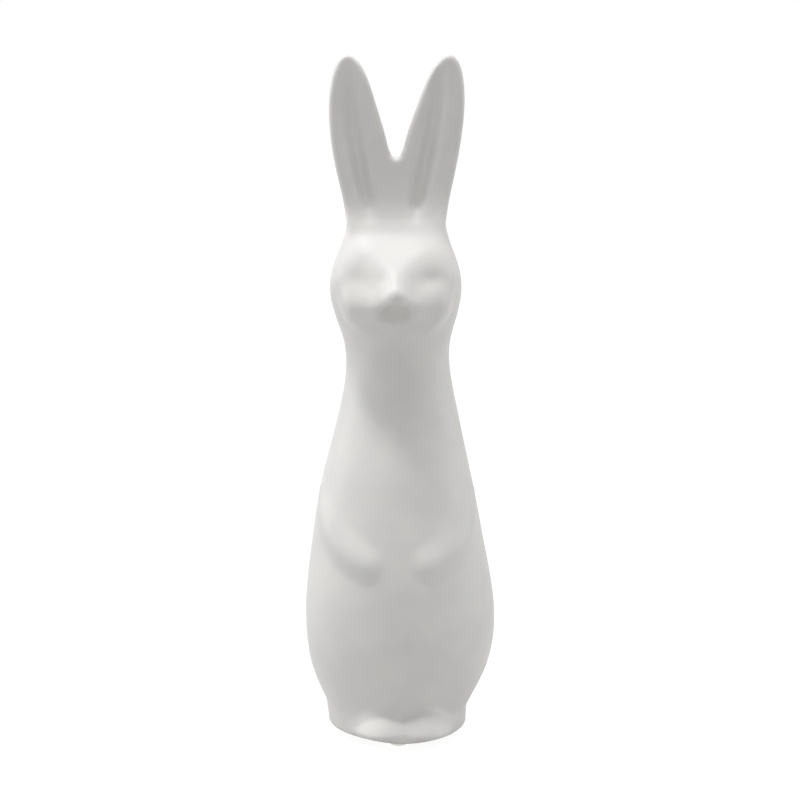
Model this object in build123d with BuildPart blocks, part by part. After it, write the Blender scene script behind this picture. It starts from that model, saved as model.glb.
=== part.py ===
from build123d import *
import os
from math import hypot

# Standing ceramic rabbit, about 300 mm tall, on four clear bumpers.
# Millimetres, +Z up. The figure faces -Y, and its own left side is at +X.
# The origin is on the surface it stands on, under the middle of its box.

os.makedirs("parts", exist_ok=True)

# Driving sizes of the figure
overall_height = 300.0
crown_height = 226.0
belly_half_width = 42.0
belly_front_depth = 42.0
belly_back_depth = 36.0

# The slip-cast shell
wall_thickness = 4.0
floor_thickness = 5.0
drain_hole_diameter = 12.0

# The plinth under the belly
plinth_height = 9.8
plinth_top_radius = 3.6
plinth_overlap = 0.1
plinth_bottom_radius = 2.4

# The bumpers stuck under the feet and the plinth, with their centres in from the edge
pad_diameter = 9.5
pad_height = 3.0
pad_contact_diameter = 4.4
front_pad_inset = 11.1
rear_pad_inset = 9.0
side_pad_inset = 8.9

# The ears
ear_outer_reach = 29.4
ear_root_depth = 20.0
ear_front_plane = 7.5
ear_groove_radius = 2.7
ear_groove_depth = 1.9
ear_groove_low_spread = 9.6
ear_groove_high_spread = 22.4
ear_groove_root_inset = 3.0
ear_groove_tip_inset = 8.0

# The eye sockets are shallow dips of a ball held off the face
eye_ball_radius = 9.0

# The arms
arm_thickness = 13.0

# The feet, which come forward from the plinth
foot_side_inset = 0.6
foot_front_standout = 8.6
foot_top_radius = 4.6
toe_width = 19.0
toe_length = 16.0
toe_height = 10.8
toe_spread = 11.5
toe_front_inset = 10.6
toe_rise = 2.0

# The tail, which stands out behind the fullest part of the back
tail_diameter = 21.0
tail_standout = 6.0
tail_height = 38.0

# One overrun serves every cut
overrun = 1.0

# The rim of a bumper leaves its contact flat in this direction
pad_edge_slope_share = (1.0, 0.3)

# An ellipse passes through this share of both its half axes at 45 degrees
ellipse_share = 0.707

# The oval of the plinth: half width, front depth and back depth,
# as shares of belly_half_width, belly_front_depth and belly_back_depth
plinth_shares = (0.724, 0.714, 0.861)

# Torso and head, from the plinth to the crown.
# Each row is height, half width, front depth, back depth and how full the front is,
# as shares of the way from the plinth to the crown, belly_half_width,
# belly_front_depth and belly_back_depth.
torso_shares = (
    (0.0000, 0.738, 0.750, 0.861, 0.707),
    (0.0429, 0.862, 0.845, 0.917, 0.707),
    (0.0983, 0.955, 0.943, 0.972, 0.707),
    (0.1861, 1.000, 1.000, 1.000, 0.707),
    (0.2885, 0.952, 0.943, 0.950, 0.707),
    (0.3856, 0.871, 0.848, 0.861, 0.707),
    (0.4494, 0.826, 0.776, 0.794, 0.707),
    (0.5424, 0.702, 0.648, 0.694, 0.707),
    (0.6301, 0.598, 0.533, 0.619, 0.707),
    (0.7179, 0.540, 0.457, 0.578, 0.707),
)
head_shares = (
    (0.7555, 0.557, 0.495, 0.589, 0.700),
    (0.7921, 0.614, 0.640, 0.622, 0.665),
    (0.8224, 0.667, 0.830, 0.639, 0.630),
    (0.8380, 0.681, 0.905, 0.644, 0.620),
    (0.8663, 0.683, 0.845, 0.644, 0.630),
    (0.8987, 0.662, 0.720, 0.617, 0.660),
    (0.9310, 0.598, 0.571, 0.561, 0.690),
    (0.9634, 0.500, 0.417, 0.472, 0.707),
    (0.9864, 0.370, 0.286, 0.361, 0.707),
    (1.0000, 0.190, 0.167, 0.208, 0.707),
)
# The slip fills the nose, so the hollow runs past it on fewer stations
head_hollow_shares = (
    (0.7555, 0.557, 0.495, 0.589, 0.700),
    (0.8119, 0.630, 0.600, 0.622, 0.690),
    (0.8663, 0.660, 0.640, 0.630, 0.690),
    (0.9112, 0.600, 0.560, 0.570, 0.690),
    (0.9478, 0.440, 0.400, 0.440, 0.707),
    (0.9655, 0.240, 0.230, 0.260, 0.707),
)

# Sideways, forward and upward place of the ball of an eye socket, as shares
# of belly_half_width, belly_front_depth and the way from the plinth to the crown
eye_ball_shares = (0.498, 0.729, 0.884)

# One ear, seen from the front: height, inner edge, outer edge and depth, as shares
# of the ear's height over the crown, ear_outer_reach twice and ear_root_depth.
# A negative height lies inside the head, where the ear is seated.
# A negative inner edge lies past the middle, where the two ears meet.
ear_shares = (
    (-0.217, -0.170, 0.690, 1.000),
    (-0.099, -0.170, 0.728, 1.000),
    (-0.006, -0.170, 0.752, 0.960),
    (0.155, -0.160, 0.824, 0.860),
    (0.273, -0.120, 0.885, 0.790),
    (0.349, 0.000, 0.918, 0.745),
    (0.417, 0.105, 0.950, 0.705),
    (0.556, 0.205, 0.990, 0.630),
    (0.662, 0.275, 1.000, 0.570),
    (0.768, 0.365, 0.988, 0.505),
    (0.856, 0.445, 0.960, 0.435),
    (0.928, 0.540, 0.910, 0.345),
    (0.975, 0.640, 0.860, 0.230),
    (1.000, 0.710, 0.810, 0.110),
)

# One arm, from the shoulder to the paw: height, sideways and forward place and girth,
# as shares of the way from the plinth to the crown, belly_half_width,
# belly_front_depth and arm_thickness
arm_shares = (
    (0.4410, 0.726, 0.202, 0.500),
    (0.4044, 0.695, 0.364, 0.850),
    (0.3574, 0.652, 0.500, 1.000),
    (0.3156, 0.510, 0.681, 1.000),
    (0.2895, 0.360, 0.798, 0.950),
    (0.2759, 0.224, 0.867, 0.620),
)


# The torso starts just inside the plinth and its head ends at the crown
torso_foot = pad_height + plinth_height - plinth_overlap
crown_top = pad_height + crown_height


# The height of a place that is a share of the way from the plinth to the crown
def level(height_share):
    return torso_foot + height_share * (crown_top - torso_foot)


# A closed outline of four smooth quarters, which run level at front and back
def outline(plane, half_width, front_depth, back_depth, fullness_share):
    quarters = (
        (-half_width, -front_depth, fullness_share),
        (half_width, -front_depth, fullness_share),
        (half_width, back_depth, ellipse_share),
        (-half_width, back_depth, ellipse_share),
    )
    with BuildSketch(plane) as drawn:
        with BuildLine():
            for side, depth, share in quarters:
                Spline(
                    (side, 0),
                    (side * share, depth * share),
                    (0, depth),
                    tangents=((0, depth), (-side, 0)),
                )
        make_face()
    return drawn.sketch


# A stack of outlines at their heights, each one inset from the outer surface
def stations(station_shares, inset):
    return [
        outline(
            Plane.XY.offset(level(height)),
            half_width * belly_half_width - inset,
            front * belly_front_depth - inset,
            back * belly_back_depth - inset,
            fullness,
        )
        for height, half_width, front, back, fullness in station_shares
    ]


# The plinth is one flat oval with both its edges rounded
plinth_half_width = plinth_shares[0] * belly_half_width
plinth_front_depth = plinth_shares[1] * belly_front_depth
plinth_back_depth = plinth_shares[2] * belly_back_depth
plinth_half_length = (plinth_front_depth + plinth_back_depth) / 2
plinth_centre_offset = (plinth_back_depth - plinth_front_depth) / 2
with BuildPart() as plinth:
    with BuildSketch(Plane((0, plinth_centre_offset, pad_height))):
        Ellipse(plinth_half_width, plinth_half_length)
    extrude(amount=plinth_height)
    fillet(plinth.edges().sort_by(Axis.Z)[-1], radius=plinth_top_radius)
    fillet(plinth.edges().sort_by(Axis.Z)[0], radius=plinth_bottom_radius)

# The whole outer form of plinth, torso and head, which everything else is seated on
with BuildPart() as outer_form:
    loft(sections=stations(torso_shares + head_shares, 0))
    add(plinth.part)

# The hollow that the drained slip leaves, from the floor to under the crown
floor_height_share = (pad_height + floor_thickness - torso_foot) / (crown_top - torso_foot)
floor_station_shares = ((floor_height_share,) + torso_shares[0][1:],)
hollow_shares = floor_station_shares + torso_shares[1:] + head_hollow_shares
with BuildPart() as hollow:
    loft(sections=stations(hollow_shares, wall_thickness))

with BuildPart() as body_casting:
    add(outer_form.part)
    add(hollow.part, mode=Mode.SUBTRACT)
    # The drain hole, through the middle of the floor
    with BuildSketch(Plane.XY.offset(pad_height - overrun)):
        Circle(drain_hole_diameter / 2)
    extrude(amount=floor_thickness + 2 * overrun, mode=Mode.SUBTRACT)
    # Two shallow eye sockets
    eye_side, eye_front, eye_height = eye_ball_shares
    eye_x = eye_side * belly_half_width
    eye_y = -eye_front * belly_front_depth
    with Locations((-eye_x, eye_y, level(eye_height)), (eye_x, eye_y, level(eye_height))):
        Sphere(eye_ball_radius, mode=Mode.SUBTRACT)
body_casting.part.label = "body_casting"
export_step(body_casting.part, "parts/body_casting.step")

# The left ear: a leaf of oval slices, cut at the middle and seated on the crown
ear_height = overall_height - crown_top


def ear_slices():
    slices = []
    for height, inner, outer, depth in ear_shares:
        inner_edge = inner * ear_outer_reach
        outer_edge = outer * ear_outer_reach
        half_depth = depth * ear_root_depth / 2
        middle = (inner_edge + outer_edge) / 2
        centre = (middle, half_depth - ear_front_plane, crown_top + height * ear_height)
        slices.append(
            outline(
                Plane(origin=centre),
                (outer_edge - inner_edge) / 2,
                half_depth,
                half_depth,
                ellipse_share,
            )
        )
    return slices


# The groove down the front of the ear is a long spindle laid half into it
groove_y = ear_groove_depth - ear_groove_radius - ear_front_plane
groove_foot = (ear_groove_low_spread, groove_y, crown_top - ear_groove_root_inset)
groove_run = ear_groove_high_spread - ear_groove_low_spread
groove_rise = ear_height + ear_groove_root_inset - ear_groove_tip_inset
groove_axis = Axis(groove_foot, (groove_run, 0, groove_rise))
groove_length = hypot(groove_run, groove_rise)
groove_plane = Plane(origin=groove_axis.position, x_dir=groove_axis.direction, z_dir=(0, -1, 0))
with BuildPart() as left_ear:
    loft(sections=ear_slices())
    split(bisect_by=Plane.YZ, keep=Keep.TOP)
    add(outer_form.part, mode=Mode.SUBTRACT)
    with BuildSketch(groove_plane):
        with BuildLine():
            ThreePointArc(
                (0, 0),
                (groove_length / 2, ear_groove_radius),
                (groove_length, 0),
            )
            Line((groove_length, 0), (0, 0))
        make_face()
    revolve(axis=groove_axis, mode=Mode.SUBTRACT)
left_ear.part.label = "left_ear"
export_step(left_ear.part, "parts/left_ear.step")

with BuildPart() as right_ear:
    mirror(left_ear.part, about=Plane.YZ)
right_ear.part.label = "right_ear"
export_step(right_ear.part, "parts/right_ear.step")

# One arm in low relief, from the shoulder round to the paw on the belly
arm_points = [
    (side * belly_half_width, -front * belly_front_depth, level(height))
    for height, side, front, girth in arm_shares
]
arm_radii = [girth * arm_thickness / 2 for height, side, front, girth in arm_shares]
with BuildPart() as left_arm:
    with BuildLine() as arm_line:
        arm_curve = Spline(arm_points)
    arm_sections = []
    for point, radius in zip(arm_points, arm_radii):
        along = arm_curve.tangent_at(Vector(point))
        with BuildSketch(Plane(origin=point, z_dir=along)) as arm_section:
            Circle(radius)
        arm_sections.append(arm_section.sketch)
    loft(sections=arm_sections)
    with Locations(arm_points[-1]):
        Sphere(arm_radii[-1])
    add(outer_form.part, mode=Mode.SUBTRACT)
left_arm.part.label = "left_arm"
export_step(left_arm.part, "parts/left_arm.step")

with BuildPart() as right_arm:
    mirror(left_arm.part, about=Plane.YZ)
right_arm.part.label = "right_arm"
export_step(right_arm.part, "parts/right_arm.step")

# One foot: a quarter of a rounded oval step, seated against the plinth and the belly,
# with an egg-shaped mound for the toes that stands a little above it
foot_outer_reach = plinth_half_width - foot_side_inset
foot_front_reach = plinth_front_depth + foot_front_standout
toe_front_offset = foot_front_reach - toe_front_inset
toe_centre_height = pad_height + plinth_height + toe_rise - toe_height / 2
toe_egg = scale(Sphere(1), by=(toe_width / 2, toe_length / 2, toe_height / 2))
toe_mound = Pos(toe_spread, -toe_front_offset, toe_centre_height) * toe_egg
with BuildPart() as left_foot:
    with BuildSketch(Plane.XY.offset(pad_height)):
        Ellipse(foot_outer_reach, foot_front_reach)
    extrude(amount=plinth_height)
    fillet(left_foot.edges().sort_by(Axis.Z)[-1], radius=foot_top_radius)
    fillet(left_foot.edges().sort_by(Axis.Z)[0], radius=plinth_bottom_radius)
    add(toe_mound)
    split(bisect_by=Plane.YZ, keep=Keep.TOP)
    split(bisect_by=Plane.XZ, keep=Keep.TOP)
    add(outer_form.part, mode=Mode.SUBTRACT)
left_foot.part.label = "left_foot"
export_step(left_foot.part, "parts/left_foot.step")

with BuildPart() as right_foot:
    mirror(left_foot.part, about=Plane.YZ)
right_foot.part.label = "right_foot"
export_step(right_foot.part, "parts/right_foot.step")

# The tail is a round bob on the back
tail_centre_offset = belly_back_depth + tail_standout - tail_diameter / 2
with BuildPart() as tail:
    with Locations((0, tail_centre_offset, tail_height)):
        Sphere(tail_diameter / 2)
    add(outer_form.part, mode=Mode.SUBTRACT)
tail.part.label = "tail"
export_step(tail.part, "parts/tail.step")

# Four clear domes stuck underneath, each with a small flat where it stands
side_pad_offset = plinth_half_width - side_pad_inset
pad_places = {
    "front_pad": (0, front_pad_inset - foot_front_reach),
    "rear_pad": (0, plinth_back_depth - rear_pad_inset),
    "left_pad": (side_pad_offset, plinth_centre_offset),
    "right_pad": (-side_pad_offset, plinth_centre_offset),
}
for pad_name, (pad_x, pad_y) in pad_places.items():
    with BuildPart() as pad:
        with BuildSketch(Plane(origin=(pad_x, pad_y, 0), x_dir=(1, 0, 0), z_dir=(0, -1, 0))):
            with BuildLine():
                Line((0, 0), (pad_contact_diameter / 2, 0))
                TangentArc(
                    (pad_contact_diameter / 2, 0),
                    (pad_diameter / 2, pad_height),
                    tangent=pad_edge_slope_share,
                )
                Line((pad_diameter / 2, pad_height), (0, pad_height))
                Line((0, pad_height), (0, 0))
            make_face()
        revolve(axis=Axis((pad_x, pad_y, 0), (0, 0, 1)))
    pad.part.label = pad_name
    export_step(pad.part, f"parts/{pad_name}.step")
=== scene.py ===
# %% [markdown]
# # A tall ceramic rabbit
# The real object is one hollow slip casting with a matt white glaze. Its ears, arms, feet and
# tail were joined on with slip before firing, so no seam shows anywhere: one skin runs over
# all of it. Four clear bumpers are stuck under its base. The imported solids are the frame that
# everything here is fitted to, so they are loaded first.

# %% Load the frame
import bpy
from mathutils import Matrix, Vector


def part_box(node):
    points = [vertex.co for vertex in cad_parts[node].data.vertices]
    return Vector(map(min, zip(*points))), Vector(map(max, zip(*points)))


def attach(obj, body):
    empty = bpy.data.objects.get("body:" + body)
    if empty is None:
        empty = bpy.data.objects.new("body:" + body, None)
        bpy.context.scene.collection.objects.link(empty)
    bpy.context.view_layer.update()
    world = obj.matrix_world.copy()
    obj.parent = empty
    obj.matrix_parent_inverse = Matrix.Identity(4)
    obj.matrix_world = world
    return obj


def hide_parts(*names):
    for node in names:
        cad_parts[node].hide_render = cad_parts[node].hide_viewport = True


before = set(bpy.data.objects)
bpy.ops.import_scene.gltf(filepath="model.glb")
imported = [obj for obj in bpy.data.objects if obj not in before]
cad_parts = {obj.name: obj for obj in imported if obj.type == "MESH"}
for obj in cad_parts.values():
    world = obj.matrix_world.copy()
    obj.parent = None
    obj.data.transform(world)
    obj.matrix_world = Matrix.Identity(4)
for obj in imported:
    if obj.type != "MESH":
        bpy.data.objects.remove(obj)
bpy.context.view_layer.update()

# %% [markdown]
# ## Libraries
# A casting has no straight edges to build from, so most of this lesson is sums on a grid of
# points. numpy does them on the whole grid at once, and openvdb turns the grid into a mesh.

# %% Libraries
import math
import bpy
import numpy as np
import openvdb
from mathutils import Vector
print("Blender", bpy.app.version_string, "with numpy", np.__version__)

# %% [markdown]
# ## Sizes from the frame
# A mould maker measures the model first. Here the driving sizes are read off the packed
# solids: how high the base stands on its bumpers, how wide the belly is, how far the feet and
# the tail reach and how tall the ears are. They could be typed in, but read off the solids
# they can't disagree with them. The finer forms further down are typed in, at the places that
# these sizes leave for them. The skin is worked out in millimetres, which suit a figure of
# this size, and it is written to the mesh in metres.

# %% Read the driving sizes
MM = 0.001


def box_mm(node):
    low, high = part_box(node)
    return np.array(low) / MM, np.array(high) / MM


body_low, body_high = box_mm("body_casting")
stand_height = body_low[2]
belly_half_width = (body_high[0] - body_low[0]) / 2
belly_front = -body_low[1]
figure_height = box_mm("left_ear")[1][2]
foot_front = -box_mm("left_foot")[0][1]
tail_low, tail_high = box_mm("tail")
print("height %.1f mm, belly %.1f to each side and %.1f forward, tail %.1f back" % (
    figure_height, belly_half_width, belly_front, tail_high[1]))

# %% [markdown]
# ## A skin from a field
# Clay that is smoothed with a wet sponge and then glazed has no hard edges. It could be
# sculpted, or lofted as meshes with every fillet made by hand. Here it is a field instead: a
# function that says how far a point is from the surface, in millimetres, negative inside.
# Fields are easy to blend, and a blend looks like the fillet that slip leaves in a corner.
#
# The first helper draws a smooth curve through a few values, as a bent spline would. Every
# width and depth that changes with height is written with it.

# %% A smooth curve through a few values
def smooth_curve(places, values):
    """A natural cubic spline, as a function."""
    places = np.asarray(places, float)
    values = np.asarray(values, float)
    steps = np.diff(places)
    slopes = np.diff(values) / steps
    count = len(places)
    matrix = np.eye(count)
    right = np.zeros(count)
    for i in range(1, count - 1):
        matrix[i, i - 1:i + 2] = steps[i - 1], 2 * (steps[i - 1] + steps[i]), steps[i]
        right[i] = 6 * (slopes[i] - slopes[i - 1])
    bends = np.linalg.solve(matrix, right)

    def curve(at):
        at = np.clip(at, places[0], places[-1])
        i = np.clip(np.searchsorted(places, at) - 1, 0, count - 2)
        step = steps[i]
        ahead = (places[i + 1] - at) / step
        behind = (at - places[i]) / step
        pull = (ahead ** 3 - ahead) * bends[i] + (behind ** 3 - behind) * bends[i + 1]
        return ahead * values[i] + behind * values[i + 1] + pull * step ** 2 / 6
    return curve


print("a curve through 0, 1 and 0 reads %.2f halfway up" % smooth_curve((0, 1, 2), (0, 1, 0))(0.5))

# %% [markdown]
# ## Torso and head
# On the real figure the plinth, belly, neck and head are one swelling tube with no step in
# it. It could be turned like a vase, but it isn't round: the head reaches far forward and the
# back is flatter. So 26 ovals, one above the other, carry the swell. Each has its own half
# width, depth to the front and depth to the back. A fullness of 2 makes the front of an oval
# a true oval, less makes it pointed, like a snout, and more makes it square.

# %% Ovals of the torso and head
torso_rows = (
    # height, half width, front depth, back depth, in millimetres, and fullness of the front
    (2, 24.0, 25.0, 25.0, 2),
    (8, 28.0, 28.6, 28.4, 2),
    (13, 30.9, 31.2, 30.8, 2),
    (20, 34.4, 33.6, 32.6, 2),
    (28, 37.9, 36.4, 34.0, 2),
    (38, 40.55, 38.7, 35.2, 2),
    (52, 41.75, 39.8, 36.0, 2),
    (66, 40.9, 39.4, 35.4, 2),
    (80, 38.9, 38.0, 33.6, 2),
    (92, 36.9, 36.0, 31.6, 2),
    (104, 34.95, 33.4, 29.4, 2),
    (116, 32.5, 31.0, 27.4, 2),
    (130, 29.2, 27.2, 25.0, 2),
    (144, 26.0, 23.6, 22.9, 2),
    (156, 23.6, 20.6, 21.4, 2),
    (167, 22.55, 19.2, 20.8, 2),
    (176, 23.5, 21.0, 21.2, 1.85),
    (184, 25.9, 25.8, 22.3, 1.75),
    (190, 27.6, 30.8, 23.0, 1.7),
    (195, 28.5, 36.0, 23.3, 1.7),
    (199, 28.7, 39.0, 23.3, 1.8),
    (204, 28.2, 41.0, 23.0, 2.0),
    (210, 26.6, 36.0, 22.3, 2.2),
    (217, 23.8, 25.0, 20.3, 2.6),
    (224, 20.4, 14.5, 16.4, 2.8),
    (229, 17.0, 7.5, 10.2, 2.6),
)
heights, half_widths, fronts, backs, fullness = np.array(torso_rows).T
half_width_at = smooth_curve(heights, half_widths)
front_at = smooth_curve(heights, fronts)
back_at = smooth_curve(heights, backs)
fullness_at = smooth_curve(heights, fullness)
print("%d ovals, the widest %.1f mm across" % (len(heights), 2 * half_widths.max()))

# %% [markdown]
# The ovals become a field here. The last one is closed by a low dome, which the ears will
# cover. The distance to an oval isn't exact, so it is divided by how steeply it rises, once
# for the oval and once for the lean of the side. That keeps a blend equally wide everywhere.
# An inset gives the same form with its wall taken off, which the hollow will need.

# %% The torso as a field
dome_start = heights[-1]
dome_top = 232.0
back_fullness = 2.0
slope_step = 0.5    # mm up and down, over which the lean of the side is measured
TINY = 1e-6    # keeps powers and divisions away from zero


def torso_field(x, y, z, inset=0.0):
    half = half_width_at(z) - inset
    depth = np.where(y < 0, front_at(z), back_at(z)) - inset
    dome = dome_top - inset - dome_start
    full = np.where(y < 0, fullness_at(z), back_fullness)
    a, b = np.abs(x) / half + TINY, np.abs(y) / depth + TINY
    c = np.maximum(z - dome_start, 0) / dome + TINY
    reach = (a ** full + b ** full + c ** full) ** (1 / full)
    steep = np.sqrt((a ** (full - 1) / half) ** 2 + (b ** (full - 1) / depth) ** 2
                    + (c ** (full - 1) / dome) ** 2) * reach ** (1 - full)
    rise = half_width_at(z + slope_step) - half_width_at(z - slope_step)
    lean = rise / (2 * slope_step)
    return (reach - 1) / steep / np.sqrt(1 + lean ** 2)


print("5 mm in front of the belly the field reads %.1f mm" % torso_field(0.0, -44.8, 52.0))

# %% [markdown]
# ## Blends
# Where two lumps of clay meet, a brush of slip fills the corner. Joining two fields with a
# softness does the same. Trimming keeps what is inside both, like a rib drawn over wet clay,
# and carving takes one form out of another and leaves a softened rim. A Boolean modifier with
# a bevel could do it on meshes, but bevels of this width fail where several forms meet.

# %% Join, trim and carve
def join(first, second, softness):
    """What is inside either, with a fillet about as wide as softness."""
    share = np.clip(0.5 + 0.5 * (second - first) / softness, 0, 1)
    return second * (1 - share) + first * share - softness * share * (1 - share)


def trim(field, limit, softness):
    """What is inside both, with a round edge."""
    return -join(-field, -limit, softness)


def carve(field, tool, softness):
    """What is inside the first and outside the second, with a softened rim."""
    return trim(field, -tool, softness)


print("a 4 mm blend fills a corner by %.1f mm" % -join(0.0, 0.0, 4.0))

# %% [markdown]
# The nose, the cheeks, the mouth and the arms are all made with one form: a rod with round
# ends that tapers from one ball to another, like a rolled coil of clay.

# %% A tapering rod
def limb(x, y, z, start, end, start_radius, end_radius):
    along = np.subtract(end, start)
    share = ((x - start[0]) * along[0] + (y - start[1]) * along[1] + (z - start[2]) * along[2])
    share = np.clip(share / along.dot(along), 0, 1)
    off = [p - s - share * a for p, s, a in zip((x, y, z), start, along)]
    girth = start_radius + share * (end_radius - start_radius)
    return np.sqrt(off[0] ** 2 + off[1] ** 2 + off[2] ** 2) - girth


print("3 mm off the middle of a rod of radius 2 mm, it reads %.1f mm" % limb(
    5.0, 0.0, 3.0, (0, 0, 0), (10, 0, 0), 2.0, 2.0))

# %% [markdown]
# ## The planes of the face
# The forehead runs almost flat from the ears down to the nose, and on each side of the nose
# the face turns back in two planes. The real one was modelled in soft clay and shows them only
# by shading. Sculpting could make them, but planes are easier to set: each is given by a
# point that it passes through and the way that it faces, and all of them trim the head with
# wide soft edges. The bridge of the nose and the cheeks are then laid on as rods.

# %% Planes, bridge and cheeks
forehead = {"through": (0.0, -12.6, 224.0), "facing": (0.0, -0.70, 0.714)}
bridge_side = {"through": (0.0, -36.294, 0.0), "facing": (0.757, -0.653, 0.0)}
mask = {"through": (0.0, -31.111, 207.0), "facing": (0.39, -0.90, 0.20)}
temple_blend, brow_blend, face_blend = 3.0, 5.0, 4.0
nose_height = 198.2
nose_front = 38.0
nose_radius = 4.6
nose_place = (0.0, nose_radius - nose_front, nose_height)
bridge_place, bridge_radius, bridge_blend = (0.0, -20.0, 206.0), 5.0, 3.0
cheek_rod = ((7.0, -25.6, 192.8), (14.0, -19.6, 192.4), 6.0, 8.0)
cheek_blend = 7.5


def plane(x, y, z, through, facing):
    """How far a point is in front of a plane."""
    return sum(f * (v - t) for v, t, f in zip((x, y, z), through, facing))


def planed_head(x, y, z, head):
    side = np.abs(x)
    temple = join(plane(side, y, z, **bridge_side), plane(side, y, z, **mask), temple_blend)
    front = trim(plane(side, y, z, **forehead), temple, brow_blend)
    head = trim(head, front, face_blend)
    bridge = limb(x, y, z, bridge_place, nose_place, bridge_radius, nose_radius)
    head = join(head, bridge, bridge_blend)
    return join(head, limb(side, y, z, *cheek_rod), cheek_blend)


print("nose %.1f mm forward of the middle, %.1f mm up" % (nose_front, nose_height))

# %% [markdown]
# ## Eyes and mouth
# The eyes are only two shallow thumbed dips, the deeper one on the rabbit's own left, and the
# mouth is a shadow under the nose. Carved sockets would leave rings, because a matt glaze
# shows every rim as a line. So each eye is a smooth bell-shaped dip that fades to nothing at
# its edge. The mouth does want an edge, and is carved out with a rod that widens to the back.

# %% Press in the eyes and carve the mouth
eye_side, eye_height = 14.7, 204.6
eye_width, eye_tall = 4.6, 3.6
eye_depth, eye_difference = 0.49, 0.315
middle_width = 3.0
mouth_rod = ((0, -37.6, 193.2), (0, -32.2, 189.8), 1.2, 6.6)
mouth_blend = 3.5


def own_left(x):
    """One on the rabbit's own left, minus one on its right, and a soft change between."""
    return np.tanh(x / middle_width)


def face_field(x, y, z, head):
    head = planed_head(x, y, z, head)
    off_side = (np.abs(x) - eye_side) / eye_width
    off_height = (z - eye_height) / eye_tall
    dip = np.exp(-off_side ** 2 - off_height ** 2)
    depth = eye_depth + eye_difference * own_left(x)
    head = head + np.where(y < 0, depth * dip, 0.0)
    return carve(head, limb(x, y, z, *mouth_rod), mouth_blend)


print("eye dips %.2f and %.2f mm deep" % (eye_depth + eye_difference, eye_depth - eye_difference))

# %% [markdown]
# ## Outline of the ears
# From the front the two ears are one leaf with a rounded notch, like a W. They are solid, and
# on the real figure they are pressed in a small mould of their own. Two curves give the outer
# and the inner edge of one ear by height, three points round its tip, and the other ear is
# its mirror image. Blender's own curves could draw it too, but the field needs the points.

# %% Draw the outline
outer_edge_at = smooth_curve(
    (205, 216, 222, 228, 236, 244, 252, 260, 268, 276, 284, 290, 294, 297),
    (19.6, 20.2, 20.7, 21.5, 22.8, 24.5, 26.2, 27.6, 28.6, 29.1, 28.9, 28.1, 27.1, 25.8),
)
inner_edge_at = smooth_curve(
    (255.0, 255.8, 257.0, 258.4, 261.4, 264.9, 268.4, 271.8, 275.3, 278.7, 282.2, 285.6, 289.1,
     292.5, 294.2, 295.9, 297.7),
    (0.0, 1.6, 2.3, 2.9, 3.8, 4.7, 5.7, 6.8, 7.9, 9.1, 10.2, 11.4, 12.7,
     14.3, 15.2, 16.3, 17.9),
)
ear_foot, outer_top, inner_top = 205, 297, 297.7
notch_side, notch_bend, notch_floor = 258.4, 258, 255.0
outer_points, inner_points, notch_points = 60, 34, 12
ear_tip = np.array([(24.1, 299.1), (21.9, 300.0), (19.7, 299.3)])


def ear_outline():
    up = np.linspace(ear_foot, outer_top, outer_points)
    down = np.concatenate([np.linspace(inner_top, notch_side, inner_points),
                           np.linspace(notch_bend, notch_floor, notch_points)])
    left_half = np.vstack([
        np.column_stack([outer_edge_at(up), up]),
        ear_tip,
        np.column_stack([inner_edge_at(down), down]),
    ])
    right_half = left_half[::-1] * (-1, 1)
    return np.vstack([left_half, right_half[1:]])


ear_points = ear_outline()
print("ear outline of", len(ear_points), "points")

# %% [markdown]
# How far a place is inside that outline sets how thick the leaf is there, so the rim is
# evenly round everywhere. For each side of the outline this finds the nearest point, and it
# counts the sides that a line to the right crosses: an odd count means inside.

# %% Distance from the outline
far_off = 1e9


def outline_distance(x, z):
    x, z = np.broadcast_arrays(x, z)
    nearest = np.full(x.shape, far_off)
    inside = np.zeros(x.shape, bool)
    for start, end in zip(ear_points, np.roll(ear_points, -1, axis=0)):
        run = end - start
        share = np.clip(((x - start[0]) * run[0] + (z - start[1]) * run[1]) / run.dot(run), 0, 1)
        gap = (x - start[0] - share * run[0]) ** 2 + (z - start[1] - share * run[1]) ** 2
        nearest = np.minimum(nearest, gap)
        if run[1] != 0:
            crosses = (z >= min(start[1], end[1])) & (z < max(start[1], end[1]))
            edge = start[0] + (z - start[1]) / run[1] * run[0]
            inside ^= crosses & (x < edge)
    return np.where(inside, 1, -1) * np.sqrt(nearest)


print("the middle of an ear is %.1f mm inside its outline" % outline_distance(19.0, 275.0))

# %% [markdown]
# ## The body of the ears
# Each ear is thick at its foot and thin at its tip, leans forward a little towards the top,
# and has a soft valley down the front. The front edge is crisp and the back is fully round, as
# a press mould leaves them. The valley is a bell-shaped dip whose place and depth change with
# height. It fades in over a ramp at its foot, because a valley that starts at once leaves a
# bright shelf. A carved rod would give the same depth but two hard rims.

# %% Thickness and lean of the ears
ear_front_at = smooth_curve((205, 222, 226, 230, 234, 238, 242, 250, 270, 300),
                            (13.0, 11.4, 10.6, 9.1, 8.1, 7.75, 7.85, 8.4, 10.3, 13.0))
half_depth_at = smooth_curve((205, 228, 240, 258, 270, 283, 292, 300),
                             (10, 9.4, 8.4, 7.0, 6.0, 4.9, 3.9, 2.8))
ear_edge = 2.0
print("ears %.1f mm thick at 240 mm and %.1f mm at the tip" % (
    2 * half_depth_at(240.0), 2 * half_depth_at(300.0)))

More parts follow.
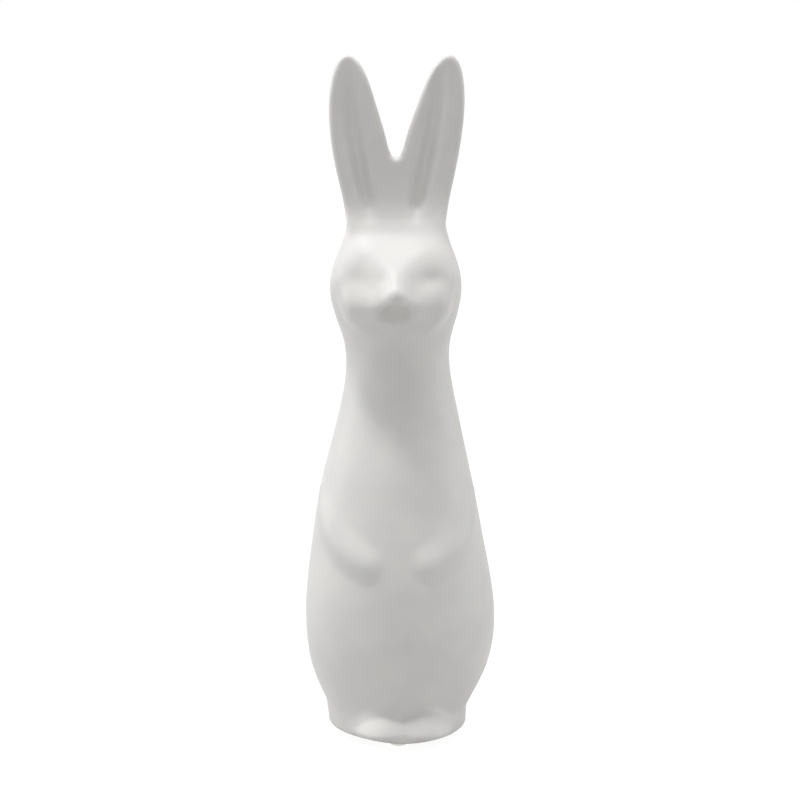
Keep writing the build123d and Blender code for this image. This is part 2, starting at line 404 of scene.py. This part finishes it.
# %% The valley down each ear
groove_side_at = smooth_curve(
    (222, 229, 235, 240, 246, 252, 258, 264, 270, 277, 283, 296),
    (9.0, 9.8, 10.8, 11.7, 13.0, 14.15, 15.3, 16.4, 17.3, 18.3, 18.75, 19.6))
groove_depth_at = smooth_curve((230, 240, 250, 262, 274, 286, 296, 300),
                               (4.2, 5.8, 7.2, 6.8, 5.2, 3.0, 0.9, 0.2))
groove_foot, groove_ramp = 226.0, 14.0
groove_width = 2.6
groove_shift = 1.5    # the left groove lies this much further in, and the right further out


def ears_field(x, y, z):
    half = half_depth_at(z)
    depth_in = outline_distance(x, z)
    centre = half - ear_front_at(z)
    curve = np.where(y < centre, ear_edge, half)
    outward = curve - depth_in
    forward = np.abs(y - centre) - half + curve
    leaf = np.hypot(np.maximum(outward, 0), np.maximum(forward, 0)) - curve
    leaf = leaf + np.minimum(np.maximum(outward, forward), 0)
    across = np.abs(x) - groove_side_at(z) + groove_shift * own_left(x)
    start = np.clip((z - groove_foot) / groove_ramp, 0, 1)
    depth = groove_depth_at(z) * start * start * (3 - 2 * start)
    valley = depth * np.exp(-(across / groove_width) ** 2)
    face = np.clip((centre - y) / half, 0, 1)
    return leaf + valley * face


print("grooves up to %.1f mm deep" % groove_depth_at(np.linspace(230, 300, 71)).max())

# %% [markdown]
# ## Arms
# The arms lie in low relief on the belly, with the paws towards each other. On the real
# figure they are sausages of clay that are pressed on and smoothed down. A smooth curve
# through six places gives the line and the girth of one arm, and the other is its mirror
# image. The curve is walked in short tapering rods, only within the band of heights where an
# arm can be, which saves time. A swept mesh would not blend into the belly.

# %% Lay on the arms
arm_places = (
    # sideways, forward, height and radius, in millimetres
    (28.2, -6.2, 108.5, 3.8),
    (26.9, -12.4, 101, 6.1),
    (24.3, -18.3, 93.8, 7.2),
    (19.9, -24.4, 87.0, 7.4),
    (15.3, -28.6, 83.0, 6.9),
    (12.4, -30.8, 81.4, 6.1),
)
arm_turns = np.linspace(0, 1, len(arm_places))
arm_line = [smooth_curve(arm_turns, values) for values in np.array(arm_places).T]
bead_count = 33
arm_beads = np.column_stack([curve(np.linspace(0, 1, bead_count)) for curve in arm_line])
arm_band = (66, 122)
arm_limit = 20.0


def arms_field(x, y, z):
    side, y, z = np.broadcast_arrays(np.abs(x), y, z)
    near = (z > arm_band[0]) & (z < arm_band[1])
    arm = np.full(z.shape, arm_limit)
    place = side[near], y[near], z[near]
    nearest = np.full(place[0].shape, arm_limit)
    for start, end in zip(arm_beads, arm_beads[1:]):
        nearest = np.minimum(nearest, limb(*place, start[:3], end[:3], start[3], end[3]))
    arm[near] = nearest
    return arm


print("each arm is a chain of", len(arm_beads) - 1, "rods")

# %% [markdown]
# ## Base and toes
# The base is one flat oval that comes forward under the belly, rounder along its top at the
# front, and two low mounds on it are the toes. It could be a lathe-turned disc with two
# balls. A field is used again so that mounds, disc and belly run into each other. The egg
# helper below gives a ball that is stretched along its axes.

# %% An egg
def egg(x, y, z, centre, radii):
    a = (x - centre[0]) / radii[0]
    b = (y - centre[1]) / radii[1]
    c = (z - centre[2]) / radii[2]
    reach = np.sqrt(a * a + b * b + c * c)
    steep = np.sqrt((a / radii[0]) ** 2 + (b / radii[1]) ** 2 + (c / radii[2]) ** 2)
    return reach * (reach - 1) / np.maximum(steep, TINY)


print("2 mm outside a ball of radius 10 mm, it reads %.1f mm" % egg(
    12.0, 0.0, 0.0, (0, 0, 0), (10.0, 10.0, 10.0)))

# %% The base with its toes
base_half_width, base_back, base_top = 30.3, 31.0, 12.8
base_shift = 3.0             # how far the front of the base sits to the rabbit's own left
base_fullness = (1.7, 2.0)   # front and back
top_round, top_round_front, bottom_round = 2.5, 5.0, 2.4
toe_centre, toe_radii = (8.6, -23.2, 0.8), (13.6, 18.0, 17.4)
toe_floor, toe_floor_blend, toe_blend = 5.0, 2.5, 3.0


def base_field(x, y, z):
    front_share = np.clip(-y / foot_front, 0, 1)
    x = x - base_shift * front_share
    depth = np.where(y < 0, foot_front, base_back)
    full = np.where(y < 0, *base_fullness)
    a, b = np.abs(x) / base_half_width + TINY, np.abs(y) / depth + TINY
    reach = (a ** full + b ** full) ** (1 / full)
    steep = np.hypot(a ** (full - 1) / base_half_width, b ** (full - 1) / depth)
    level = (reach - 1) / (steep * reach ** (1 - full))
    middle = (stand_height + base_top) / 2
    curve = np.where(z > middle, top_round + top_round_front * front_share, bottom_round)
    upright = np.abs(z - middle) - (base_top - stand_height) / 2
    outside = np.hypot(np.maximum(level + curve, 0), np.maximum(upright + curve, 0))
    oval = outside + np.minimum(np.maximum(level, upright) + curve, 0) - curve
    toes = carve(egg(np.abs(x), y, z, toe_centre, toe_radii), z - toe_floor, toe_floor_blend)
    return join(oval, toes, toe_blend)


print("base %.1f mm wide and %.1f mm thick" % (2 * base_half_width, base_top - stand_height))

# %% [markdown]
# ## The hollow inside
# Slip is poured into the mould, left until a wall of about 4 mm has set, and poured out
# again. So the inside follows the outside at a distance, and a hole in the floor lets air out
# in the kiln. The Solidify modifier could make a wall too, but it would hollow the solid ears
# as well, and fold over itself there. The inset torso gives the wall directly, an egg fills
# out the head, and a cylinder makes the drain hole.

# %% Hollow and drain hole
wall = 4.0
floor_top = stand_height + 5.0
neck_hollow_top = 178.0
torso_hollow_limit = 200.0    # higher up, the inset dome would turn inside out
head_hollow = ((0, -0.5, 188.0), (17.5, 14.5, 24.0))
hollow_blend = 4.0
drain_radius, drain_overrun = 6.0, 2.0


def hollow_field(x, y, z):
    chamber = torso_field(x, y, np.minimum(z, torso_hollow_limit), wall)
    chamber = np.maximum(np.maximum(chamber, floor_top - z), z - neck_hollow_top)
    chamber = join(chamber, egg(x, y, z, *head_hollow), hollow_blend)
    drain = np.maximum(np.hypot(x, y) - drain_radius, z - floor_top - drain_overrun)
    return np.minimum(chamber, drain)


print("wall of %.1f mm, drain hole of %.0f mm" % (wall, 2 * drain_radius))

# %% [markdown]
# ## The whole rabbit
# All the fields come together here: face, arms, ears, base, tail, and the hollow last. Each
# join has its own softness. The ears get twice as wide a blend behind as in front, and the
# base meets the belly more tightly on one side, as it does where a sponge was pressed harder.
# The thin wall also leans about a millimetre this way and that on its way up, as cast ware
# does when it dries.

# %% Join everything
sway_at = smooth_curve(
    (3, 20, 45, 76, 115, 152, 195, 225, 256, 285, 300),
    (-0.6, 0, 0.75, 0.1, -0.65, 0, -1.15, -0.9, -1.1, -0.5, 0),
)
arm_blend = 5.0
ear_blend, ear_back_blend, ear_back_start = 4.0, 5.0, 6.0
base_blend, base_blend_change = 3.4, 2.0
tail_radius, tail_blend = 10.5, 3.0
tail_centre = (0, tail_high[1] - tail_radius, (tail_low[2] + tail_high[2]) / 2)
drain_edge = 0.6


def rabbit_field(x, y, z):
    x = x - sway_at(z)
    body = face_field(x, y, z, torso_field(x, y, z))
    body = join(body, arms_field(x, y, z), arm_blend)
    ear_softness = ear_blend + ear_back_blend * np.clip(y / ear_back_start, 0, 1)
    body = join(body, ears_field(x, y, z), ear_softness)
    base_softness = base_blend - base_blend_change * x / belly_half_width
    body = join(body, base_field(x, y, z), base_softness)
    body = join(body, egg(x, y, z, tail_centre, (tail_radius,) * 3), tail_blend)
    body = np.maximum(body, stand_height - z)
    return carve(body, hollow_field(x, y, z), drain_edge)


print("leans up to %.1f mm" % np.abs(sway_at(np.linspace(3, 300, 298))).max())

# %% [markdown]
# ## From the field to a mesh
# The field is sampled on a grid of small cubes, and openvdb draws a mesh of quads where it
# changes sign. Metaballs or a Remesh modifier work in the same way, but can't take a field of
# one's own. The grid leaves fine steps, which a glaze would show as stripes. So each corner
# is slid along the slope of the field, a few times over, until it lies on the surface.

# %% Slide the corners onto the surface
pitch = 0.8
probe = 0.05                  # mm, over which the slope is measured
least_slope = 0.05            # keeps a slide from running away where the field is flat
longest_slide = 0.5 * pitch


def slide(field, points):
    """The step from each point to the surface, by the slope of the field there."""
    here = field(*points.T)
    slope = np.empty_like(points)
    for axis in range(3):
        ahead = points.copy()
        ahead[:, axis] += probe
        slope[:, axis] = (field(*ahead.T) - here) / probe
    size = np.maximum((slope ** 2).sum(axis=1), least_slope)
    move = (here / size)[:, None] * slope
    reach = np.maximum(np.linalg.norm(move, axis=1) / longest_slide, 1)
    return move / reach[:, None]


print("cubes of", pitch, "mm")

# %% Mesh a field
slides = 3


def mesh_field(name, field, low, high):
    low = np.asarray(low, float)
    counts = np.ceil((np.asarray(high) - low) / pitch).astype(int) + 1
    axes = [low[i] + pitch * np.arange(counts[i]) for i in range(3)]
    samples = field(axes[0][:, None, None], axes[1][None, :, None], axes[2][None, None, :])
    grid = openvdb.FloatGrid()
    grid.copyFromArray(np.ascontiguousarray(np.broadcast_to(samples, counts), np.float32))
    corners, quads = grid.convertToQuads(0.0)
    points = low + corners * pitch
    for _ in range(slides):
        points = points - slide(field, points)
    mesh = bpy.data.meshes.new(name)
    mesh.from_pydata((points * MM).tolist(), [], quads.tolist())
    mesh.validate()
    mesh.shade_smooth()
    piece = bpy.data.objects.new(name, mesh)
    bpy.context.scene.collection.objects.link(piece)
    return piece


margin = 3.0
rabbit = mesh_field(
    "glazed_rabbit", rabbit_field,
    (-belly_half_width - margin, -belly_front - margin, stand_height - margin),
    (belly_half_width + margin, tail_high[1] + margin, figure_height + margin))
print("skin of", len(rabbit.data.polygons), "quads")

# %% [markdown]
# The skin now takes the place of the eight ceramic solids and stands still with the root
# body, since nothing on a figurine moves.

# %% Put the skin in the frame
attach(rabbit, "root")
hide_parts("body_casting", "left_ear", "right_ear", "left_arm", "right_arm",
            "left_foot", "right_foot", "tail")
print("the skin replaces 8 solids")

# %% [markdown]
# ## Colours and nodes
# A colour picker gives sRGB values, as the eye sees them, and shaders want linear ones, in
# proportion to the light. One function turns the first into the second. Another adds a node
# with its settings and links in one line, which keeps the materials short to read.

# %% Helpers for colours and nodes
def srgb(hex_text):
    values = [int(hex_text[i:i + 2], 16) / 255 for i in (1, 3, 5)]
    linear = [v / 12.92 if v <= 0.04045 else ((v + 0.055) / 1.055) ** 2.4 for v in values]
    return tuple(linear) + (1.0,)


def add_node(tree, kind, settings=None, inputs=None, links=None):
    node = tree.nodes.new(kind)
    for key, value in (settings or {}).items():
        setattr(node, key, value)
    for key, value in (inputs or {}).items():
        node.inputs[key].default_value = value
    for key, socket in (links or {}).items():
        tree.links.new(socket, node.inputs[key])
    return node


print("the glaze reflects %.0f%% of the light" % (100 * srgb("#E4E3E0")[1]))

# %% [markdown]
# ## Matt white glaze on cast earthenware
# A matt glaze is glass with fine crystals in its face. It was dipped and fired, and gives a
# soft wide sheen with no sharp reflection. It is never quite even: it pools in slow clouds,
# and it thins over edges, where the warm clay tints it. An image could carry this, but noise
# at real sizes and the bend of the mesh, which Blender calls pointiness, need no unwrapping.

# %% Clouds in the glaze, and thin edges
glaze = bpy.data.materials.new("matt white glaze on cast earthenware")
glaze.use_nodes = True
tree = glaze.node_tree
shader = tree.nodes["Principled BSDF"]
place = add_node(tree, "ShaderNodeTexCoord").outputs["Object"]
pooling_size = 16 * MM     # thick and thin glaze changes over about a finger's width
cloud_low, cloud_high = 0.35, 0.65
edge_bend_low, edge_bend_high, edge_tint = 0.53, 0.62, 0.5
pooling = add_node(tree, "ShaderNodeTexNoise", inputs={"Scale": 1 / pooling_size, "Detail": 3.0},
                   links={"Vector": place})
pooled = add_node(tree, "ShaderNodeMapRange",
                  inputs={"From Min": cloud_low, "From Max": cloud_high},
                  links={"Value": pooling.outputs["Fac"]})
glaze_colour = add_node(tree, "ShaderNodeMix", {"data_type": "RGBA"},
                        inputs={6: srgb("#E4E3E0"), 7: srgb("#DFDEDC")},
                        links={0: pooled.outputs["Result"]})
sharpness = add_node(tree, "ShaderNodeNewGeometry").outputs["Pointiness"]
thin = add_node(tree, "ShaderNodeMapRange",
                inputs={"From Min": edge_bend_low, "From Max": edge_bend_high,
                        "To Max": edge_tint},
                links={"Value": sharpness})
edge_colour = add_node(tree, "ShaderNodeMix", {"data_type": "RGBA"},
                       inputs={7: srgb("#D9D2C6")},
                       links={0: thin.outputs["Result"], 6: glaze_colour.outputs[2]})
print("glaze clouds of %.0f mm" % (pooling_size / MM))

# %% [markdown]
# The potter wipes the foot of the figure before firing, or it would fuse to the kiln shelf.
# That leaves bare bisque underneath, warm and chalky, with a line that wanders by a fraction
# of a millimetre. Height is enough to place it, and noise makes it wander.

# %% Bare bisque underneath
wander_size = 5 * MM
wipe_wander = 0.7 * MM
wipe_low, wipe_high = (stand_height + 0.6) * MM, (stand_height + 0.9) * MM
wander = add_node(tree, "ShaderNodeTexNoise", inputs={"Scale": 1 / wander_size, "Detail": 2.0},
                  links={"Vector": place})
height = add_node(tree, "ShaderNodeSeparateXYZ", links={0: place}).outputs["Z"]
line = add_node(tree, "ShaderNodeMath", {"operation": "MULTIPLY_ADD"},
                inputs={1: wipe_wander}, links={0: wander.outputs["Fac"], 2: height})
bare = add_node(tree, "ShaderNodeMapRange", inputs={"From Min": wipe_high, "From Max": wipe_low},
                links={"Value": line.outputs[0]})
skin_colour = add_node(tree, "ShaderNodeMix", {"data_type": "RGBA"},
                       inputs={7: srgb("#D3C2A6")},
                       links={0: bare.outputs["Result"], 6: edge_colour.outputs[2]})
tree.links.new(skin_colour.outputs[2], shader.inputs["Base Color"])
print("glaze wiped off up to %.1f mm above the foot" % (wipe_high / MM - stand_height))

# %% [markdown]
# The gloss of a matt glaze lies at a roughness of about a half, and wanders a little.
# Bisque is rougher still. Under the sheen the surface has two reliefs: the slow clouds of
# thick and thin glaze, and a fine peel. The real peel is a few tenths of a millimetre wide. It
# is drawn 1.2 mm wide here, because finer than that it doesn't show at this distance. The
# IOR is that of glass.

# %% Sheen and fine relief
gloss_smooth, gloss_rough, bisque_rough = 0.46, 0.54, 0.88
glass_ior = 1.5
pooling_relief, peel_relief = 0.012 * MM, 0.006 * MM
peel_size = 1.2 * MM
gloss = add_node(tree, "ShaderNodeMapRange",
                 inputs={"To Min": gloss_smooth, "To Max": gloss_rough},
                 links={"Value": wander.outputs["Fac"]})
roughness = add_node(tree, "ShaderNodeMix", {"data_type": "FLOAT"}, inputs={3: bisque_rough},
                     links={0: bare.outputs["Result"], 2: gloss.outputs["Result"]})
peel = add_node(tree, "ShaderNodeTexNoise", inputs={"Scale": 1 / peel_size, "Detail": 2.0},
                links={"Vector": place})
slow = add_node(tree, "ShaderNodeBump", inputs={"Distance": pooling_relief, "Strength": 1.0},
                links={"Height": pooling.outputs["Fac"]})
fine = add_node(tree, "ShaderNodeBump", inputs={"Distance": peel_relief, "Strength": 1.0},
                links={"Height": peel.outputs["Fac"], "Normal": slow.outputs["Normal"]})
tree.links.new(roughness.outputs[0], shader.inputs["Roughness"])
tree.links.new(fine.outputs["Normal"], shader.inputs["Normal"])
shader.inputs["IOR"].default_value = glass_ior
rabbit.data.materials.append(glaze)
print("glaze made of", len(tree.nodes), "nodes")

# %% [markdown]
# ## Clear moulded polyurethane
# Soft clear bumpers keep the bisque off the table. They are moulded, so they are smooth, and
# pick up a faint haze and dust when they are handled. Their shape is simple and the packed
# solids already have it, so only their material is made here. Full transmission would show
# the dark underside of the base through them. The real ones carry in light from the white
# table all round them. Here they get little transmission, and a weak emission stands in for
# that carried light: a painted glow from a part that is no lamp.

# %% Clear bumpers
haze_size = 2.5 * MM
haze_relief = 0.02 * MM
clean_rough, hazy_rough = 0.08, 0.26
polyurethane_ior = 1.5
see_through, painted_glow_strength = 0.1, 0.35
clear = bpy.data.materials.new("clear moulded polyurethane")
clear.use_nodes = True
tree = clear.node_tree
shader = tree.nodes["Principled BSDF"]
place = add_node(tree, "ShaderNodeTexCoord").outputs["Object"]
haze = add_node(tree, "ShaderNodeTexNoise", inputs={"Scale": 1 / haze_size, "Detail": 3.0},
                links={"Vector": place})
tint = add_node(tree, "ShaderNodeMix", {"data_type": "RGBA"},
                inputs={6: srgb("#F4F4F0"), 7: srgb("#E6E6DF")}, links={0: haze.outputs["Fac"]})
smear = add_node(tree, "ShaderNodeMapRange", inputs={"To Min": clean_rough, "To Max": hazy_rough},
                 links={"Value": haze.outputs["Fac"]})
dimple = add_node(tree, "ShaderNodeBump", inputs={"Distance": haze_relief, "Strength": 1.0},
                  links={"Height": haze.outputs["Fac"]})
tree.links.new(tint.outputs[2], shader.inputs["Base Color"])
tree.links.new(smear.outputs["Result"], shader.inputs["Roughness"])
tree.links.new(dimple.outputs["Normal"], shader.inputs["Normal"])
shader.inputs["IOR"].default_value = polyurethane_ior
shader.inputs["Transmission Weight"].default_value = see_through
# painted glow: the bumpers emit light though they are no lamp, in place of light carried in from
# the table
shader.inputs["Emission Color"].default_value = srgb("#F4F4F0")
shader.inputs["Emission Strength"].default_value = painted_glow_strength
for name in ("front_pad", "rear_pad", "left_pad", "right_pad"):
    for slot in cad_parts[name].material_slots:
        slot.material = clear
print("clear bumpers made of", len(tree.nodes), "nodes")

# %% [markdown]
# ## Camera
# The photograph looks down on the figure a little, as from a seat at the table, and with
# little perspective, so the lens is long. A lens is given in pixels here, which is what can be
# worked out from a picture, and turned into millimetres on Blender's usual sensor.

# %% Place the camera
sensor_width = 36.0
picture_width = 800
lens_pixels = 3191.4
camera_distance = 1.4
far_clip = 10
elevation = math.radians(9)
target = Vector((0.0007, 0, 0.1485))
camera_data = bpy.data.cameras.new("camera")
camera_data.sensor_width = sensor_width
camera_data.lens = lens_pixels / picture_width * sensor_width
camera_data.clip_end = far_clip
camera = bpy.data.objects.new("camera", camera_data)
bpy.context.scene.collection.objects.link(camera)
camera.location = target + camera_distance * Vector((0, -math.cos(elevation), math.sin(elevation)))
camera.rotation_euler = (math.radians(90) - elevation, 0, 0)
bpy.context.scene.camera = camera
print("lens of %.0f mm" % camera_data.lens)

# %% [markdown]
# ## White paper sweep
# The figure stands on white paper that fades into a white wall. To make real paper that white
# would take so much light that the glaze burns out. So what the camera, a reflection or clear
# plastic sees of the paper is told apart with Light Path: it glows almost white by itself, and
# keeps just enough of a grey surface for the soft shadow of the object. For every other ray it
# is plain grey paper, which sends up the right amount of light under the chin and the belly.

# %% Rays that look at the background
def background_rays(tree):
    """One for camera, glossy and transmission rays, and nothing for the rest."""
    path = add_node(tree, "ShaderNodeLightPath")
    seen = add_node(tree, "ShaderNodeMath", {"operation": "MAXIMUM"},
                    links={0: path.outputs["Is Camera Ray"], 1: path.outputs["Is Glossy Ray"]})
    seen = add_node(tree, "ShaderNodeMath", {"operation": "MAXIMUM"},
                    links={0: seen.outputs[0], 1: path.outputs["Is Transmission Ray"]})
    return seen.outputs[0]


paper_glow = 0.93
paper = bpy.data.materials.new("white paper sweep")
paper.use_nodes = True
tree = paper.node_tree
tree.nodes.remove(tree.nodes["Principled BSDF"])
plain = add_node(tree, "ShaderNodeBsdfDiffuse", inputs={"Color": srgb("#C6C6C6")})
faint = add_node(tree, "ShaderNodeBsdfDiffuse", inputs={"Color": srgb("#7A7A7A")})
glow = add_node(tree, "ShaderNodeEmission", inputs={"Strength": paper_glow})
bright = add_node(tree, "ShaderNodeAddShader", links={0: faint.outputs[0], 1: glow.outputs[0]})
mixed = add_node(tree, "ShaderNodeMixShader",
                 links={0: background_rays(tree), 1: plain.outputs[0], 2: bright.outputs[0]})
tree.links.new(mixed.outputs[0], tree.nodes["Material Output"].inputs["Surface"])
print("paper made of", len(tree.nodes), "nodes")

# %% The floor
floor_reach = 3.0
floor_corners = [(x * floor_reach, y * floor_reach, 0)
                 for x, y in ((-1, -1), (1, -1), (1, 1), (-1, 1))]
floor_mesh = bpy.data.meshes.new("floor")
floor_mesh.from_pydata(floor_corners, [], [(0, 1, 2, 3)])
floor = bpy.data.objects.new("floor", floor_mesh)
bpy.context.scene.collection.objects.link(floor)
floor.data.materials.append(paper)
print("floor of %.0f by %.0f m" % (2 * floor_reach, 2 * floor_reach))

# %% [markdown]
# ## Walls and ceiling of the studio
# The world stands for the pale room round the table. It fills the shadows evenly, and where
# it is seen directly it is pure white, by the same rays as the paper.

# %% The world
room_level, white_level = 0.52, 1.0
world = bpy.data.worlds.new("studio")
bpy.context.scene.world = world
world.use_nodes = True
tree = world.node_tree
room = tree.nodes["Background"]
room.inputs["Color"].default_value = (1, 1, 1, 1)
room.inputs["Strength"].default_value = room_level
white = add_node(tree, "ShaderNodeBackground",
                 inputs={"Color": (1, 1, 1, 1), "Strength": white_level})
mixed = add_node(tree, "ShaderNodeMixShader",
                 links={0: background_rays(tree), 1: room.outputs[0], 2: white.outputs[0]})
tree.links.new(mixed.outputs[0], tree.nodes["World Output"].inputs["Surface"])
print("room at", room_level, "of white")

# %% [markdown]
# ## Lamps
# The light comes mostly from overhead and the left, from small softboxes close together: the
# chest lies in the soft shadow of the chin, and the toes catch light again. Three large cards
# at the sides lift the edges. All stand on one sphere round the figure and aim at its middle,
# so each needs only a turn, a height angle, a size and a strength. They stay weak enough that
# the glaze keeps its tone.

# %% Set up the lamps
lamps = (
    # name, turn from the camera and height angle in degrees, size in metres, watts
    ("key", -60, 78, 0.15, 5.9),
    ("left top", -90, 75, 0.15, 2.9),
    ("front top", -20, 80, 0.15, 2.4),
    ("right top", 60, 75, 0.15, 1.2),
    ("left card", -100, 45, 0.5, 3.0),
    ("left low card", -100, 10, 0.5, 3.5),
    ("right low card", 100, 10, 0.5, 3.3),
)
lamp_distance = 1.5
aim = Vector((0, 0, 0.15))
for name, turn, lift, size, watts in lamps:
    data = bpy.data.lights.new(name, "AREA")
    data.size = size
    data.energy = watts
    lamp = bpy.data.objects.new(name, data)
    turn, lift = math.radians(turn), math.radians(lift)
    level = math.cos(lift)
    away = Vector((math.sin(turn) * level, -math.cos(turn) * level, math.sin(lift)))
    lamp.location = aim + lamp_distance * away
    lamp.rotation_euler = away.to_track_quat("Z", "Y").to_euler()
    bpy.context.scene.collection.objects.link(lamp)
bpy.context.scene.view_settings.view_transform = "Standard"
print(len(lamps), "lamps, %.1f W in all" % sum(row[4] for row in lamps))
